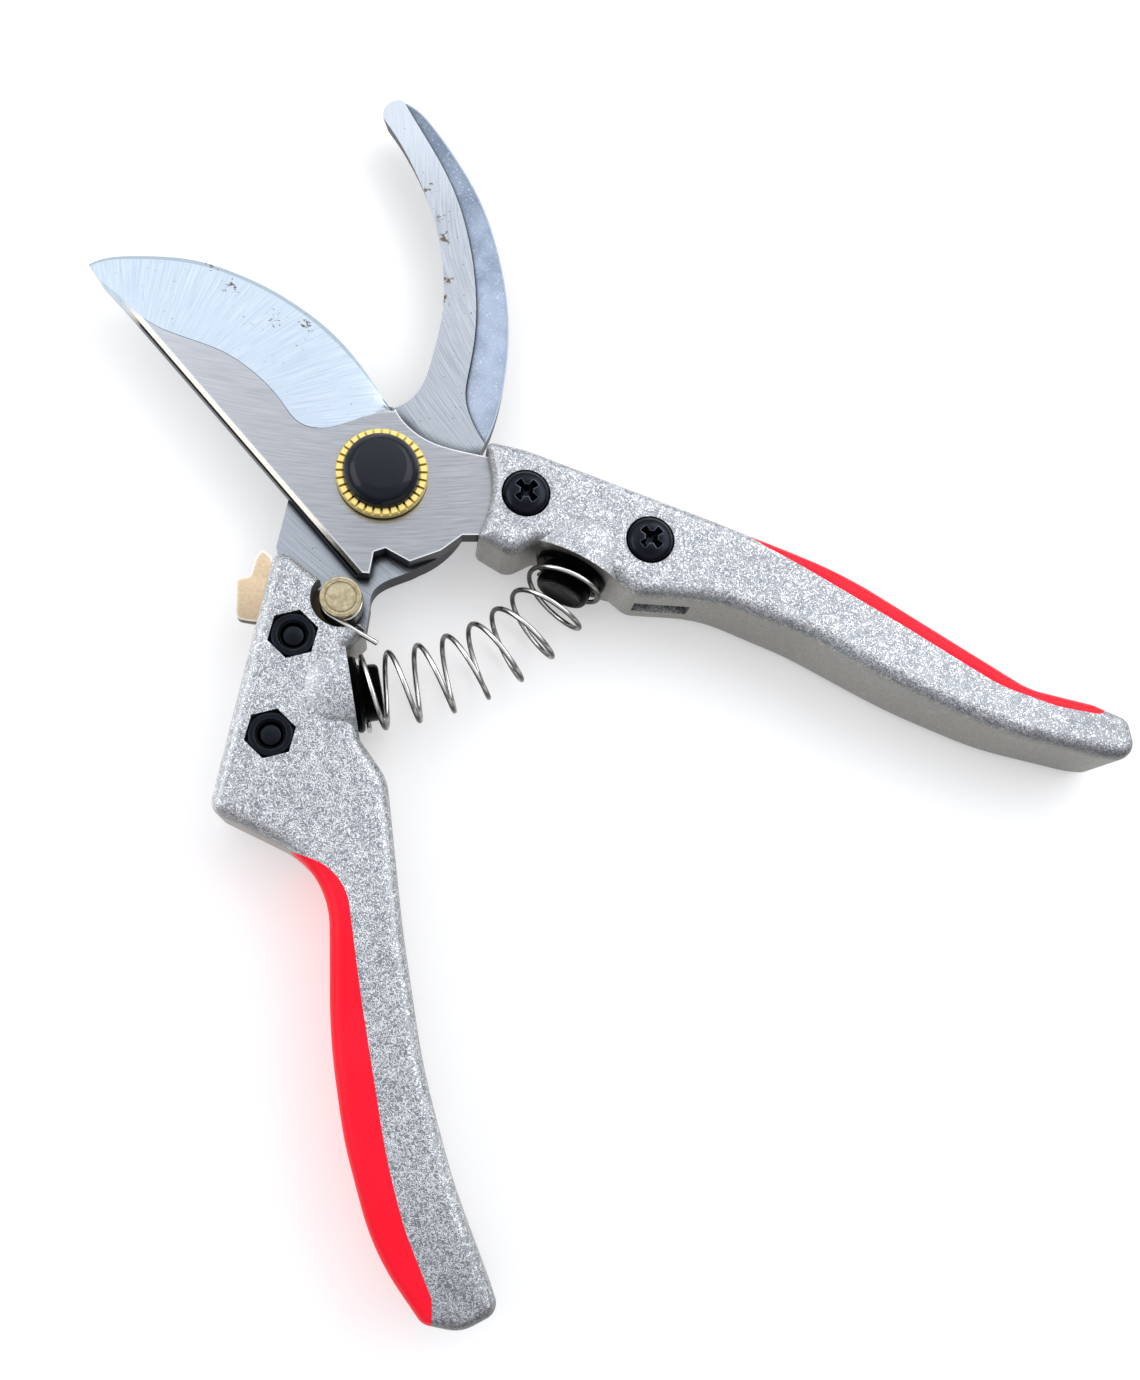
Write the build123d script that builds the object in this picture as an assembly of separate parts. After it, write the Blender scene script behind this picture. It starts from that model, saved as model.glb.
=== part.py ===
from build123d import *
import math
import os

# Pruning shears, lying flat and open. Millimetres.
# The origin is on the pivot axis, at the underside of the pivot bolt's head.
# +Y runs towards the jaws, +Z runs up out of the flat of the shears.

# ---- overall sizes
jaw_reach = 62.0           # pivot to the tip of the cutting blade
handle_reach = 135.5       # pivot to the far end of each handle
handle_thickness = 12.4    # handles, over the tangs
grip_thickness = 14.4      # handles, where the hand holds them

# ---- blades
hook_thickness = 4.0
blade_thickness = 3.0
sliding_gap = 0.05         # between faces that slide on each other
bevel_edge_thickness = 0.35
spine_chamfer_width = 1.4
spine_chamfer_depth = 0.8
hook_relief_depth = 0.45

# ---- pivot
bolt_head_radius = 6.5
bolt_head_height = 3.5
shank_radius = 3.35
neck_width = 2 * shank_radius + 0.1    # the square neck, so that the shank passes its hole
neck_clearance = 0.05
running_clearance = 0.05   # radial, on everything that turns
thread_radius = shank_radius - 0.35
washer_radius = 6.6
washer_thickness = 0.45
ring_radius = 7.6
ring_height = 1.3
ring_notch_count = 32
ring_notch_width = 0.42
ring_notch_depth = 0.5
cap_radius = 6.3
cap_height = 2.8
cap_top_radius = 4.6
cap_roof = 1.0

# ---- handle fasteners, M4
screw_radius = 2.0
screw_head_radius = 4.0
screw_head_height = 2.4
counterbore_depth = 1.2
recess_depth = 1.5
recess_arm = 2.3
recess_width = 1.25
nut_across_flats = 7.0
nut_height = 3.2
fastener_clearance = 0.1

# ---- handles
front_round = 2.2
left_handle_angle = -77.4
right_handle_angle = -21.4
swell_start = 52.0         # from the pivot, where the handles begin to thicken
swell_end = 74.0
side_slot_place = (47.0, -20.5)
side_slot_length = 9.5
side_slot_depth = 7.0
side_slot_height = 3.6
tang_clearance = 0.1
boss_half_width = 5.6
boss_rise = 1.3
boss_length = 7.4

nut_sink = 0.15            # top of a nut below its handle's face
nut_turn = 15.0            # degrees
recess_turn = 18.0         # degrees
screw_end_sink = 0.5
thread_play = 0.02

# ---- spring and its seats
coil_wire = 0.85
coil_half_turns = 17
seat_nose_radius = 4.7
seat_nose_length = 3.4
coil_radius = seat_nose_radius + 0.875 + coil_wire / 2
seat_flange_radius = coil_radius + 0.2
seat_flange_thickness = 1.3
seat_flange_room = 0.3     # round the flange, in its handle
spigot_radius = 2.5
spigot_length = 3.6

# ---- lock
latch_thickness = 1.6
latch_slot_height = 1.75
tab_bend_height = 3.0
tab_bend_width = 1.3
tab_bend_length = 5.2
tab_bend_place = (-23.5, -21.2)
latch_room_end = -26.2
lock_wire = 0.6
lock_leg_angle = -31.0
lock_leg_length = 8.4
lock_collar_height = 2.4
rivet_radius = 1.5
lock_coil_radius = rivet_radius + 1.1 + lock_wire / 2
rivet_head_radius = lock_coil_radius + lock_wire / 2 + 0.2
rivet_head_height = 1.3
rivet_tail_radius = rivet_radius + 1.1
rivet_tail_height = 1.2
latch_hub_radius = rivet_radius + 1.7
rivet_head_room = 1.5      # round the rivet's head, in the handle
rivet_tail_room = 0.5

# ---- levels
hook_bottom = bolt_head_height
hook_top = hook_bottom + hook_thickness
blade_bottom = hook_top + sliding_gap
blade_top = blade_bottom + blade_thickness
middle = hook_top
handle_top = middle + handle_thickness / 2
washer_bottom = blade_top + sliding_gap
ring_bottom = washer_bottom + washer_thickness
ring_top = ring_bottom + ring_height
cap_top = ring_top + cap_height
latch_bottom = hook_top + sliding_gap
latch_top = latch_bottom + latch_thickness
latch_slot_top = hook_top + latch_slot_height
lock_collar_top = latch_top + sliding_gap + lock_collar_height
rivet_head_bottom = lock_collar_top + 2 * lock_wire + 2 * sliding_gap
lock_leg_level = rivet_head_bottom - sliding_gap - lock_wire / 2

# ---- places, seen from above
left_screws = [(-13.9, -28.4), (-17.2, -44.6)]
right_screws = [(23.7, -3.7), (44.3, -11.2)]
rivet_place = (-6.4, -22.3)
left_seat_place = (-4.65, -36.7)
left_seat_angle = 8.7
right_seat_place = (32.0, -14.6)
right_seat_angle = 243.3

# The jaws are drawn for a reach of 62 mm and the handles for 135.5 mm. Points further
# from the pivot than a root radius move out with the reach that is asked for.
drawn_jaw_reach = 62.0
jaw_root = 20.0
drawn_handle_reach = 135.5
handle_root = 60.0


def reached(point, root, drawn, wanted):
    x, y = point
    radius = math.hypot(x, y)
    if radius <= root:
        return (x, y)
    moved = root + (radius - root) * (wanted - root) / (drawn - root)
    return (x * moved / radius, y * moved / radius)


def jaw(points):
    return [reached(point, jaw_root, drawn_jaw_reach, jaw_reach) for point in points]


def grip(points):
    return [reached(point, handle_root, drawn_handle_reach, handle_reach) for point in points]


def rounded_face(corners):
    """A closed outline of straight runs, each corner given as x, y and its radius."""
    radii = [corner[2] for corner in corners]
    points = grip([corner[:2] for corner in corners])
    return make_face(FilletPolyline(*points, radius=radii, close=True))


def slab(face, bottom, top):
    return extrude(Pos(0, 0, bottom) * face, top - bottom)


def disc(place, radius, bottom, top):
    x, y = place
    return Pos(x, y, (bottom + top) / 2) * Cylinder(radius, top - bottom)


def seat_frame(place, angle):
    """A frame on a handle's seat face, its Z axis pointing along the spring."""
    turn = math.radians(angle)
    origin = (place[0], place[1], middle)
    return Plane(origin, x_dir=(0, 0, 1), z_dir=(math.cos(turn), math.sin(turn), 0))


# ---- blades

cutting_edge_points = jaw([
    (-49.3, 37.4), (-46.6, 38.7), (-41.4, 39.4), (-35.6, 39.5), (-30.7, 38.9), (-25.7, 37.4),
    (-18.8, 34.3), (-13.6, 31.0), (-9.0, 27.3), (-5.4, 23.4), (-2.0, 18.7), (2.2, 12.0),
])
bevel_back_points = jaw([
    (-43.6, 29.9), (-40.2, 26.9), (-36.3, 24.6), (-30.1, 22.4), (-25.0, 20.2), (-21.8, 17.9),
    (-18.6, 14.9), (-15.8, 11.2), (-13.4, 8.6), (-10.0, 8.0), (-5.0, 9.5), (2.0, 11.6),
])


blade_tang_points = [
    (16.6, -9.8), (22.5, -9.4), (30.0, -9.0), (38.0, -10.6), (41.5, -15.2), (48.5, -15.2),
    (50.2, -9.6), (46.0, -6.4), (34.0, -1.4), (20.0, 3.4), (17.0, 4.1),
]
hook_tang_points = [
    (-17.4, -11.6), (-16.4, -16.0), (-20.8, -46.0), (-18.0, -50.5), (-13.8, -49.5),
    (-12.6, -42.0), (-12.6, -33.0), (-9.0, -30.2), (-3.4, -27.6), (-2.5, -25.1), (-1.9, -21.4),
]


def blade_outline():
    edge = Spline(*cutting_edge_points)
    neck = Spline(cutting_edge_points[-1], (4.1, 9.2), (8.2, 6.3), (12.8, 4.9), (17.0, 4.1))
    tip = jaw([(-49.3, 37.4), (-46.6, 33.2), (-43.4, 29.7)])
    front = Polyline(*tip)
    spine = Line(tip[-1], (-4.2, -16.8))
    lower = Polyline(
        (-4.2, -16.8), (-2.0, -16.9), (-1.3, -13.2), (0.6, -12.5), (4.6, -14.7), (9.7, -12.7),
        (13.3, -9.9), *blade_tang_points,
    )
    return make_face([edge, neck, lower, spine, front])


def bevel_cutter():
    """Everything above a ruled surface from the back of the bevel down to the edge."""
    edge = Spline(*cutting_edge_points)
    back = Spline(*bevel_back_points)
    edge_level = blade_bottom + bevel_edge_thickness
    overshoot = 0.12
    outer_points = []
    inner_points = []
    for step in range(17):
        along = step / 16
        near = back @ along
        far = edge @ along
        drop = blade_top - edge_level
        outer = far + (far - near) * overshoot
        outer_points.append((outer.X, outer.Y, edge_level - drop * overshoot))
        inner_points.append((near.X, near.Y, blade_top))
    surface = Face.make_surface_from_curves(Spline(*outer_points).edge(), Spline(*inner_points).edge())
    return extrude(surface, blade_thickness * 2, dir=(0, 0, 1))


def cutting_blade():
    blade = slab(blade_outline(), blade_bottom, blade_top)
    spine = Line(jaw([(-43.4, 29.7)])[0], (-4.2, -16.8))
    spine_middle = spine @ 0.5
    top_edges = blade.edges().filter_by(lambda edge: abs(edge.center().Z - blade_top) < 0.01)
    long_edge = top_edges.sort_by_distance((spine_middle.X, spine_middle.Y, blade_top))[0]
    blade = chamfer(long_edge, spine_chamfer_depth, spine_chamfer_width,
                    reference=blade.faces().sort_by(Axis.Z)[-1])
    blade -= bevel_cutter()
    blade -= disc((0, 0), shank_radius + running_clearance, blade_bottom - 1, blade_top + 1)
    for place in right_screws:
        blade -= disc(place, screw_radius + fastener_clearance, blade_bottom - 1, blade_top + 1)
    return blade


def hook_outline():
    outer = Spline(*jaw([
        (2.9, 72.4), (4.6, 71.9), (9.1, 67.6), (13.6, 60.7), (17.0, 54.2), (20.2, 44.0),
        (21.8, 33.5), (21.6, 23.8), (19.6, 13.4), (18.0, 9.0), (16.6, 6.0), (15.9, 1.8),
    ]))
    inner = Spline(*jaw([
        (0.0, 68.7), (3.0, 64.0), (6.5, 56.6), (9.3, 48.1), (10.6, 38.0), (10.2, 30.8),
        (8.6, 23.6), (6.2, 17.1), (2.1, 13.8),
    ]))
    tip = Spline(*jaw([(0.0, 68.7), (0.5, 71.0), (2.9, 72.4)]))
    left_disc = Spline((2.1, 13.8), (-5.5, 13.4), (-11.6, 9.0), (-14.9, 2.6), (-15.5, -3.2))
    left_tang = Polyline((-15.5, -3.2), *hook_tang_points)
    throat = Spline((-1.9, -21.4), (-1.2, -18.6), (2.4, -16.3), (6.2, -14.6))
    right_disc = ThreePointArc((6.2, -14.6), (13.6, -8.2), (15.9, 1.8))
    return make_face([outer, tip, inner, left_disc, left_tang, throat, right_disc])


def hook_blade():
    hook = slab(hook_outline(), hook_bottom, hook_top)
    relief_line = Spline(*jaw([
        (2.6, 74.5), (4.4, 70.8), (8.5, 63.5), (12.5, 55.1), (15.2, 44.9), (16.2, 34.5),
        (15.9, 27.5), (14.8, 21.0), (14.2, 16.2), (15.4, 11.6), (18.4, 6.4),
    ]))
    far_side = Polyline(*jaw([(18.4, 6.4), (40.0, 6.0), (40.0, 74.5), (2.6, 74.5)]))
    relief = make_face([relief_line, far_side])
    hook -= slab(relief, hook_top - hook_relief_depth, hook_top + 1)
    neck_hole = neck_width + 2 * neck_clearance
    hook -= Pos(0, 0, hook_bottom + hook_thickness / 2) * Box(neck_hole, neck_hole, hook_thickness + 2)
    for place in left_screws:
        hook -= disc(place, screw_radius + fastener_clearance, hook_bottom - 1, hook_top + 1)
    hook -= disc(rivet_place, rivet_radius, hook_bottom - 1, hook_top + 1)
    return hook


# ---- handles

left_corners = [
    (-17.0, -13.0, 1.8), (-9.7, -18.9, 1.0), (-2.2, -27.3, 0.8), (-5.55, -30.6, 0.4),
    (-3.4, -45.0, 2.5), (1.0, -51.4, 8), (3.4, -75.0, 120), (6.5, -96.4, 120),
    (11.3, -114.5, 120), (17.9, -132.2, 2.4), (12.0, -135.0, 6), (6.2, -133.6, 2.6),
    (-1.0, -123.2, 40), (-5.4, -107.0, 60), (-7.6, -92.0, 100), (-7.9, -65.8, 15),
    (-26.6, -56.5, 2.5),
]
left_pad_line = [
    (-18.0, -61.4), (-5.4, -66.4, 9), (-2.8, -86.0, 80), (1.0, -109.5, 90), (3.6, -119.5, 40),
    (7.7, -129.8, 4), (7.4, -140.0),
]
right_corners = [
    (17.2, 6.0, 0.8), (24.0, 4.6, 20), (56.0, -7.2, 60), (78.0, -16.6, 80), (97.0, -28.6, 100),
    (108.5, -35.7, 15), (119.6, -38.3, 6), (125.6, -40.9, 2.4), (126.9, -48.2, 3),
    (120.5, -47.6, 20), (104.0, -43.7, 60), (88.0, -37.0, 120), (70.0, -27.2, 60),
    (55.0, -21.3, 30), (41.6, -20.7, 4), (38.6, -17.95, 2.5), (26.2, -11.7, 2.5),
    (21.2, -14.3, 3), (15.7, -10.9, 1.0), (18.9, -2.2, 16),
]
right_pad_line = [
    (57.5, -6.0), (63.0, -11.6, 12), (86.1, -25.3, 90), (102.8, -35.7, 25), (112.5, -39.1, 15),
    (121.0, -40.6, 2.5), (123.0, -36.0),
]


def swell(angle):
    """The side profile of a handle, thin over the tang and thick in the hand."""
    beyond = handle_reach + 20
    thin = handle_thickness / 2
    thick = grip_thickness / 2
    top = [
        Line((0, thin), (swell_start, thin)),
        Spline((swell_start, thin), (swell_end, thick), tangents=[(1, 0), (1, 0)]),
        Line((swell_end, thick), (beyond, thick)),
    ]
    bottom = [mirror(piece, Plane.XZ) for piece in top]
    ends = [Line((0, thin), (0, -thin)), Line((beyond, thick), (beyond, -thick))]
    profile = make_face(top + bottom + ends)
    turn = math.radians(angle)
    along = (math.cos(turn), math.sin(turn), 0)
    side = Plane((0, 0, middle), x_dir=along, z_dir=(math.sin(turn), -math.cos(turn), 0))
    return extrude(side * profile, 60, both=True)


def rim_edges(body):
    """The edges where the sides of a handle meet its upper and lower faces."""
    sides = body.faces().filter_by(lambda face: abs(face.normal_at().Z) < 0.01)
    return sides.edges().filter_by(lambda edge: abs((edge % 0.5).Z) < 0.7)


def handle_blank(corners, angle):
    """A handle and its pad in one piece."""
    half = max(handle_thickness, grip_thickness) / 2
    body = slab(rounded_face(corners), middle - half, middle + half)
    body &= swell(angle)
    return fillet(rim_edges(body), front_round)


def seat_boss(place, angle):
    """The swelling over a spring seat: a round ridge with a ball end, above and below."""
    radius = (boss_half_width ** 2 + boss_rise ** 2) / (2 * boss_rise)
    frame = seat_frame(place, angle)
    ridge_length = boss_length - boss_half_width
    ridge = frame * Pos(0, 0, -ridge_length / 2) * Cylinder(radius, ridge_length)
    ball = frame * Pos(0, 0, -ridge_length) * Sphere(radius)
    keep = frame * Pos(0, 0, -boss_length) * Box(60, 60, 2 * boss_length)
    lift = handle_thickness / 2 + boss_rise - radius
    round_shape = (ridge + ball) & keep
    window = disc(place, boss_length + boss_half_width, handle_top - front_round, handle_top + boss_rise)
    upper = (Pos(0, 0, lift) * round_shape) & window
    return upper + mirror(upper, Plane.XY.offset(middle))


def pad_band(line, side_corners):
    """Everything behind the line that parts a pad from its handle, over the full height."""
    start = line[0]
    finish = line[-1]
    inner = line[1:-1]
    points = grip([start] + [corner[:2] for corner in inner] + [finish])
    seam = FilletPolyline(*points, radius=[corner[2] for corner in inner])
    around = Polyline(points[-1], *grip(side_corners), points[0])
    return slab(make_face([seam, around]), 0, 2 * middle)


def fastener_holes(places, head_side, nut_side):
    """Through holes with a counterbore at one face and a hex pocket at the other."""
    cuts = []
    for x, y in places:
        cuts.append(disc((x, y), screw_radius + fastener_clearance, -1, 2 * middle + 1))
        bore = Pos(x, y, middle + head_side * (handle_thickness / 2 - counterbore_depth + 5))
        cuts.append(bore * Cylinder(screw_head_radius + fastener_clearance, 10))
        depth = nut_height + nut_sink
        pocket = Pos(x, y, middle + nut_side * (handle_thickness / 2 - depth + 5))
        cuts.append(pocket * Rot(0, 0, nut_turn) * hexagon(nut_across_flats + 2 * fastener_clearance, 10))
    return cuts


def hexagon(across_flats, height):
    face = RegularPolygon(across_flats / math.sqrt(3), 6)
    return Pos(0, 0, -height / 2) * extrude(face, height)


def seat_bore(place, angle):
    frame = seat_frame(place, angle)
    depth = spigot_length + 0.2
    return frame * Pos(0, 0, -depth / 2) * Cylinder(spigot_radius + running_clearance, depth)


def seat_relief(place, angle):
    """Clear room in front of a seat's face, so that the flange lies flat on it."""
    frame = seat_frame(place, angle)
    depth = seat_flange_thickness + seat_nose_length
    return frame * Pos(0, 0, depth / 2) * Cylinder(seat_flange_radius + seat_flange_room, depth)


def tang_slot(points, front, bottom, top):
    face = make_face(Polyline(front[0], *points, front[1], close=True))
    return slab(offset(face, tang_clearance), bottom, top)


def left_handle_parts():
    body = handle_blank(left_corners, left_handle_angle)
    body += seat_boss(left_seat_place, left_seat_angle)
    body -= tang_slot(hook_tang_points, [(-15.0, -2.0), (2.0, -14.0)], hook_bottom, hook_top)
    room_corners = [(-34, latch_room_end), (-4, latch_room_end), (-4, 0), (-34, 0)]
    body -= slab(make_face(Polyline(*room_corners, close=True)), hook_top, latch_slot_top)
    body -= disc(rivet_place, rivet_head_radius + rivet_head_room, hook_top, handle_top + 1)
    body -= disc(rivet_place, rivet_tail_radius + rivet_tail_room, 0, hook_bottom)
    body -= seat_bore(left_seat_place, left_seat_angle)
    body -= seat_relief(left_seat_place, left_seat_angle)
    groove = 2 * lock_wire
    leg_room = Pos(2 * groove, 0, lock_leg_length / 2) * Box(5 * groove, groove, lock_leg_length)
    body -= lock_leg_frame() * leg_room
    for cut in fastener_holes(left_screws, -1, 1):
        body -= cut
    band = pad_band(left_pad_line, [(-60.0, -150.0), (-60.0, -70.0)])
    return body - band, body & band


def right_handle_parts():
    body = handle_blank(right_corners, right_handle_angle)
    body += seat_boss(right_seat_place, right_seat_angle)
    body -= tang_slot(blade_tang_points, [(12.0, -9.9), (12.0, 4.9)], blade_bottom, blade_top)
    body -= seat_bore(right_seat_place, right_seat_angle)
    body -= seat_relief(right_seat_place, right_seat_angle)
    for cut in fastener_holes(right_screws, 1, -1):
        body -= cut
    body -= Pos(*side_slot_place, middle) * Box(side_slot_length, side_slot_depth, side_slot_height)
    band = pad_band(right_pad_line, [(150.0, 0.0), (70.0, 20.0)])
    return body - band, body & band


# ---- fasteners

def pan_screw(end_level, head_level, direction):
    """A pan head screw on the Z axis, its head seated at head_level and facing direction."""
    length = abs(head_level - end_level)
    shank = Pos(0, 0, (head_level + end_level) / 2) * Cylinder(screw_radius, length)
    tip = shank.faces().sort_by(Axis.Z)[0 if direction > 0 else -1]
    shank = chamfer(tip.edges(), 0.4)
    head = Pos(0, 0, screw_head_height / 2) * Cylinder(screw_head_radius, screw_head_height)
    head = fillet(head.faces().sort_by(Axis.Z)[-1].edges(), screw_head_height * 0.6)
    arm = Pos(0, 0, screw_head_height) * Box(2 * recess_arm, recess_width, 2 * recess_depth)
    head -= arm + Rot(0, 0, 90) * arm
    if direction < 0:
        head = Rot(180, 0, 0) * head
    return shank + Pos(0, 0, head_level) * Rot(0, 0, recess_turn) * head


def hex_nut(bottom):
    nut = Pos(0, 0, bottom + nut_height / 2) * hexagon(nut_across_flats, nut_height)
    crown = Pos(0, 0, bottom + nut_height / 2) * Cylinder(nut_across_flats / 2 + 0.25, nut_height)
    nut &= chamfer(crown.edges(), 0.25)
    nut -= Pos(0, 0, bottom + nut_height / 2) * Cylinder(screw_radius + thread_play, nut_height + 1)
    rims = nut.edges().filter_by(GeomType.CIRCLE).filter_by(
        lambda edge: abs(edge.radius - screw_radius - thread_play) < 0.01)
    return chamfer(rims, 0.3)


# ---- spring and seats

def spring_seat(place, angle):
    flange = Pos(0, 0, seat_flange_thickness / 2) * Cylinder(seat_flange_radius, seat_flange_thickness)
    flange = fillet(flange.faces().sort_by(Axis.Z)[-1].edges(), 0.4)
    nose_middle = seat_flange_thickness + seat_nose_length / 2
    nose = Pos(0, 0, nose_middle) * Cylinder(seat_nose_radius, seat_nose_length)
    nose = fillet(nose.faces().sort_by(Axis.Z)[-1].edges(), 0.6)
    spigot = Pos(0, 0, -spigot_length / 2) * Cylinder(spigot_radius, spigot_length)
    return seat_frame(place, angle) * (flange + nose + spigot)


def seat_point(place, angle, distance):
    turn = math.radians(angle)
    return (place[0] + distance * math.cos(turn), place[1] + distance * math.sin(turn))


def main_spring():
    """A wire coil whose axis bends from one seat to the other, made of half turns."""
    clear = seat_flange_thickness + coil_wire
    start = seat_point(left_seat_place, left_seat_angle, clear)
    finish = seat_point(right_seat_place, right_seat_angle, clear)
    leave = math.radians(left_seat_angle)
    arrive = math.radians(right_seat_angle - 180)
    axis = Spline(start, finish, tangents=[
        (math.cos(leave), math.sin(leave)), (math.cos(arrive), math.sin(arrive)),
    ])
    rails = []
    for count in range(coil_half_turns + 1):
        along = count / coil_half_turns
        centre = axis @ along
        forward = axis % along
        side = 1 if count % 2 == 0 else -1
        rails.append((centre.X - side * forward.Y * coil_radius, centre.Y + side * forward.X * coil_radius))
    coil = None
    for count in range(coil_half_turns):
        half = half_turn(rails[count], rails[count + 1], 1 if count % 2 == 0 else -1)
        coil = half if coil is None else coil + half
    return coil


def half_turn(near, far, side):
    """Half a turn of wire in an upright plane, over the middle or under it."""
    centre = Vector((near[0] + far[0]) / 2, (near[1] + far[1]) / 2, middle)
    reach = Vector(far[0] - near[0], far[1] - near[1], 0)
    radius = reach.length / 2
    frame = Plane(centre, x_dir=reach, z_dir=reach.cross(Vector(0, 0, 1)))
    wire = Plane.XZ * Pos(-radius, 0) * Circle(coil_wire / 2)
    arc = revolve(wire, Axis.Z, 180 * -side)
    return frame * arc


# ---- pivot

def pivot_bolt():
    head = Pos(0, 0, bolt_head_height / 2) * Cylinder(bolt_head_radius, bolt_head_height)
    head = chamfer(head.faces().sort_by(Axis.Z)[0].edges(), 0.6)
    neck_height = hook_thickness - 0.5
    neck = Pos(0, 0, hook_bottom + neck_height / 2) * Box(neck_width, neck_width, neck_height)
    shank = disc((0, 0), shank_radius, hook_bottom, blade_top)
    thread_end = cap_top - cap_roof - 0.3
    return head + neck + shank + disc((0, 0), thread_radius, blade_top, thread_end)


def friction_washer():
    washer = disc((0, 0), washer_radius, washer_bottom, ring_bottom)
    return washer - disc((0, 0), thread_radius + running_clearance, washer_bottom - 1, ring_bottom + 1)


def adjusting_ring():
    ring = disc((0, 0), ring_radius, ring_bottom, ring_top)
    ring = chamfer(ring.faces().sort_by(Axis.Z)[-1].edges(), 0.2)
    ring -= disc((0, 0), thread_radius + running_clearance, ring_bottom - 1, ring_top + 1)
    notch = Pos(ring_radius, 0, ring_top) * Box(3.0, ring_notch_width, 2 * ring_notch_depth)
    for count in range(ring_notch_count):
        ring -= Rot(0, 0, count * 360 / ring_notch_count) * notch
    return ring


def pivot_cap():
    skirt = cap_height * 0.35
    profile = make_face([
        Polyline((0, ring_top), (cap_radius, ring_top), (cap_radius, ring_top + skirt)),
        ThreePointArc(
            (cap_radius, ring_top + skirt),
            (cap_radius * 0.45 + cap_top_radius * 0.55, ring_top + cap_height * 0.8),
            (cap_top_radius, cap_top),
        ),
        Polyline((cap_top_radius, cap_top), (0, cap_top), (0, ring_top)),
    ])
    cap = revolve(Plane.XZ * profile, Axis.Z)
    return cap - disc((0, 0), thread_radius + running_clearance, ring_top - 1, cap_top - cap_roof)


# ---- lock

def lock_latch():
    """A plate on the rivet with a finger for the blade's notch and a bent thumb tab."""
    plate = make_face(FilletPolyline(
        (-6.4, -25.4), (-20.9, -25.0), (-23.4, -24.6), (-23.6, -17.8), (-21.3, -17.2),
        (-20.6, -14.4), (-19.5, -12.6), (-17.9, -13.9), (-16.9, -18.4), (-13.0, -19.7), (-6.4, -19.2),
        radius=[0, 0.5, 1.0, 0.6, 0.4, 0.5, 0.6, 0.8, 2.0, 2.0, 0], close=True,
    ))
    latch = slab(plate, latch_bottom, latch_top)
    latch += disc(rivet_place, latch_hub_radius, latch_bottom, latch_top)
    x, y = tab_bend_place
    bend = Pos(x + tab_bend_width / 2, y, latch_top - tab_bend_height / 2)
    latch += bend * Box(tab_bend_width, tab_bend_length, tab_bend_height)
    latch -= disc(rivet_place, rivet_radius + running_clearance, latch_bottom - 1, latch_top + 1)
    return latch


def lock_collar():
    collar = disc(rivet_place, rivet_head_radius, latch_top + sliding_gap, lock_collar_top)
    return collar - disc(rivet_place, rivet_radius, latch_top, lock_collar_top + 1)


def lock_rivet():
    head = disc(rivet_place, rivet_head_radius, rivet_head_bottom, rivet_head_bottom + rivet_head_height)
    head = fillet(head.faces().sort_by(Axis.Z)[-1].edges(), 0.4)
    shank = disc(rivet_place, rivet_radius, hook_bottom, rivet_head_bottom)
    tail = disc(rivet_place, rivet_tail_radius, hook_bottom - rivet_tail_height, hook_bottom)
    return head + shank + chamfer(tail.faces().sort_by(Axis.Z)[0].edges(), 0.4)


def lock_leg_frame():
    """A frame where the long leg leaves the coil, its Z axis running along the leg."""
    heading = math.radians(lock_leg_angle)
    across = lock_coil_radius
    start = (
        rivet_place[0] + across * math.sin(heading),
        rivet_place[1] - across * math.cos(heading),
        lock_leg_level,
    )
    return Plane(start, x_dir=(0, 0, 1), z_dir=(math.cos(heading), math.sin(heading), 0))


def lock_spring():
    """Two turns of thin wire round the rivet, with a long leg out over the handle's corner."""
    upper = Pos(*rivet_place, lock_leg_level) * Torus(lock_coil_radius, lock_wire / 2)
    lower = Pos(0, 0, -0.85 * lock_wire) * upper
    leg = lock_leg_frame() * Pos(0, 0, lock_leg_length / 2) * Cylinder(lock_wire / 2, lock_leg_length)
    return upper + lower + leg


# ---- writing the pieces

def standing(screw_places, build):
    return [Pos(x, y, 0) * build() for x, y in screw_places]


def all_pieces():
    left_handle, left_grip = left_handle_parts()
    right_handle, right_grip = right_handle_parts()
    head_seat = handle_thickness / 2 - counterbore_depth
    nut_level = handle_thickness / 2 - nut_sink
    left_end = middle + nut_level - screw_end_sink
    right_end = middle - nut_level + screw_end_sink
    left_screw = standing(left_screws, lambda: pan_screw(left_end, middle - head_seat, -1))
    right_screw = standing(right_screws, lambda: pan_screw(right_end, middle + head_seat, 1))
    left_nut = standing(left_screws, lambda: Rot(0, 0, nut_turn) * hex_nut(middle + nut_level - nut_height))
    right_nut = standing(right_screws, lambda: Rot(0, 0, nut_turn) * hex_nut(middle - nut_level))
    return {
        "hook_blade": hook_blade(),
        "left_handle": left_handle,
        "left_grip": left_grip,
        "left_screw_front": left_screw[0],
        "left_screw_rear": left_screw[1],
        "left_nut_front": left_nut[0],
        "left_nut_rear": left_nut[1],
        "left_spring_seat": spring_seat(left_seat_place, left_seat_angle),
        "pivot_bolt": pivot_bolt(),
        "lock_rivet": lock_rivet(),
        "lock_collar": lock_collar(),
        "lock_spring": lock_spring(),
        "main_spring": main_spring(),
        "lock_latch": lock_latch(),
        "cutting_blade": cutting_blade(),
        "right_handle": right_handle,
        "right_grip": right_grip,
        "right_screw_front": right_screw[0],
        "right_screw_rear": right_screw[1],
        "right_nut_front": right_nut[0],
        "right_nut_rear": right_nut[1],
        "right_spring_seat": spring_seat(right_seat_place, right_seat_angle),
        "friction_washer": friction_washer(),
        "adjusting_ring": adjusting_ring(),
        "pivot_cap": pivot_cap(),
    }


os.makedirs("parts", exist_ok=True)
for name, shape in all_pieces().items():
    export_step(shape, f"parts/{name}.step")
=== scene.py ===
import math

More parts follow.
